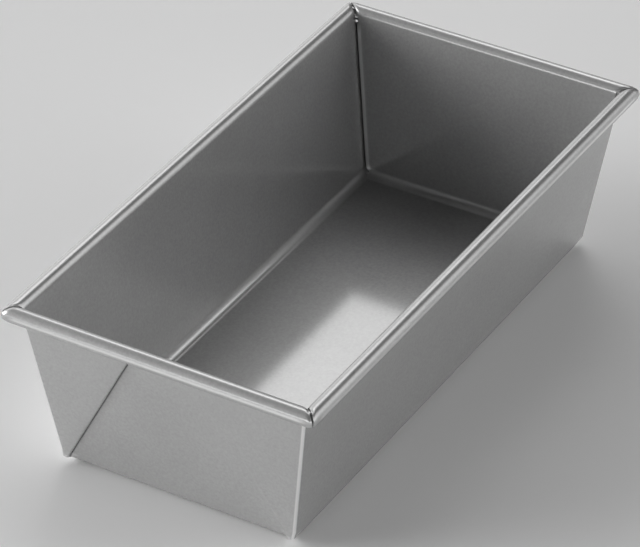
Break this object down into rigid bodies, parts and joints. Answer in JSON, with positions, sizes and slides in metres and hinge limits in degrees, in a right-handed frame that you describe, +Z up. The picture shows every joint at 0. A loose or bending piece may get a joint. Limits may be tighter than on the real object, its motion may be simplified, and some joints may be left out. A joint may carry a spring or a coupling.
{
  "type": "loaf pan",
  "caption": "Deep rectangular loaf pan with tapered walls, folded gusset corners and a rim rolled outward round a wire.",
  "frame": {"origin": "middle of the underside, on the plane that the pan stands on", "axes": "+Z up through the open mouth, +Y along the pan's length, +X across it"},
  "size_m": [0.1404, 0.268, 0.0762],
  "materials": {
    "pan_steel": "satin",
    "wire_steel": "drawn wire, semi-bright"
  },
  "bodies": {
    "root": {"folded_sheet": "pan_steel", "rim_wire": "wire_steel"}
  },
  "joints": []
}
